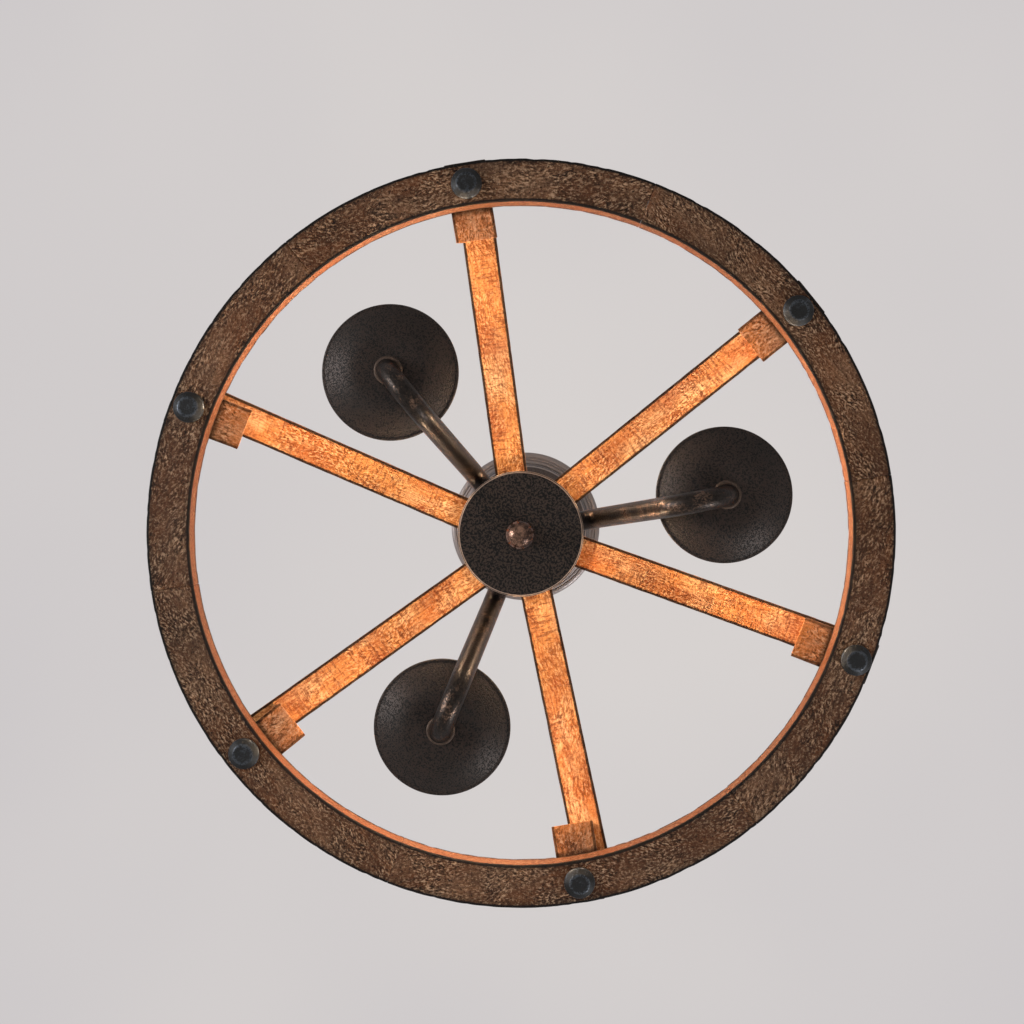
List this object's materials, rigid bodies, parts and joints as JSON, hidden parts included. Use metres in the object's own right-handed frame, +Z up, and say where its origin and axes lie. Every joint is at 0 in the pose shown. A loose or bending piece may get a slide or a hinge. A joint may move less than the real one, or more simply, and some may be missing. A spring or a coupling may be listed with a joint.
{
  "type": "wagon wheel chandelier",
  "caption": "Wagon wheel chandelier: wooden rim and sloping spokes on a metal hub, hooked arms with dished candle lamps, short stem and stepped ceiling canopy.",
  "frame": {"origin": "on the wheel's axis, in the ceiling plane, midway between the crossbar's two slots", "axes": "+Z up into the ceiling along the wheel's axis; +X along the crossbar and through the first spoke's bolt"},
  "size_m": [0.5177, 0.508, 0.3187],
  "materials": {
    "rim_wood": "distressed dark brown, open grain",
    "spoke_wood": "warm brown, cross-scratched",
    "bolt_steel": "blue-black satin",
    "dark_bronze": "matte with fine black speckle",
    "rubbed_bronze": "rubbed bronze, satin",
    "zinc": "zinc plated",
    "holder_plastic": "moulded black",
    "bulb_glass": "clear, faintly amber",
    "cap_brass": "plated",
    "filament": "glowing strips",
    "lead_sheath": "pale sheath",
    "wire_sheath": "black sheath",
    "ground_green": "green"
  },
  "bodies": {
    "fixture": {"felloe_1": "rim_wood", "felloe_2": "rim_wood", "felloe_3": "rim_wood", "felloe_4": "rim_wood", "felloe_5": "rim_wood", "felloe_6": "rim_wood", "felloe_dowels": "spoke_wood", "rim_bolts": "bolt_steel", "spoke_1": "spoke_wood", "spoke_2": "spoke_wood", "spoke_3": "spoke_wood", "spoke_4": "spoke_wood", "spoke_5": "spoke_wood", "spoke_6": "spoke_wood", "block_1": "rim_wood", "block_2": "rim_wood", "block_3": "rim_wood", "block_4": "rim_wood", "block_5": "rim_wood", "block_6": "rim_wood", "spoke_screws": "dark_bronze", "clamp_screws": "dark_bronze", "clamp_lower": "dark_bronze", "clamp_upper": "dark_bronze", "hub_drum": "dark_bronze", "hub_cover": "dark_bronze", "finial": "rubbed_bronze", "lamp_pipe": "zinc", "stem_tube": "dark_bronze", "spacer_tube": "dark_bronze", "lock_nuts": "zinc", "supply_lead": "lead_sheath", "arm_1": "rubbed_bronze", "arm_2": "rubbed_bronze", "arm_3": "rubbed_bronze", "arm_collars": "dark_bronze", "arm_wires": "wire_sheath", "splice_sleeves": "zinc", "dish_1": "dark_bronze", "dish_2": "dark_bronze", "dish_3": "dark_bronze", "dish_rings": "rubbed_bronze", "dish_nipples": "zinc", "lamp_cups": "dark_bronze", "socket_1": "holder_plastic", "socket_2": "holder_plastic", "socket_3": "holder_plastic", "crossbar": "zinc", "ground_screw": "ground_green"},
    "bulb_1": {"bulb_glass_1": "bulb_glass", "bulb_cap_1": "cap_brass", "filament_1": "filament"},
    "bulb_2": {"bulb_glass_2": "bulb_glass", "bulb_cap_2": "cap_brass", "filament_2": "filament"},
    "bulb_3": {"bulb_glass_3": "bulb_glass", "bulb_cap_3": "cap_brass", "filament_3": "filament"},
    "canopy_body": {"canopy": "dark_bronze", "canopy_collar": "dark_bronze"}
  },
  "joints": [
    {"name": "bulb_1_lift", "type": "slide", "parent": "fixture", "child": "bulb_1", "axis": [0, 0, 1], "range_m": [0, 0.03]},
    {"name": "bulb_2_lift", "type": "slide", "parent": "fixture", "child": "bulb_2", "axis": [0, 0, 1], "range_m": [0, 0.03]},
    {"name": "bulb_3_lift", "type": "slide", "parent": "fixture", "child": "bulb_3", "axis": [0, 0, 1], "range_m": [0, 0.03]},
    {"name": "canopy_slide", "type": "slide", "parent": "fixture", "child": "canopy_body", "axis": [0, 0, -1], "range_m": [0, 0.07]}
  ]
}
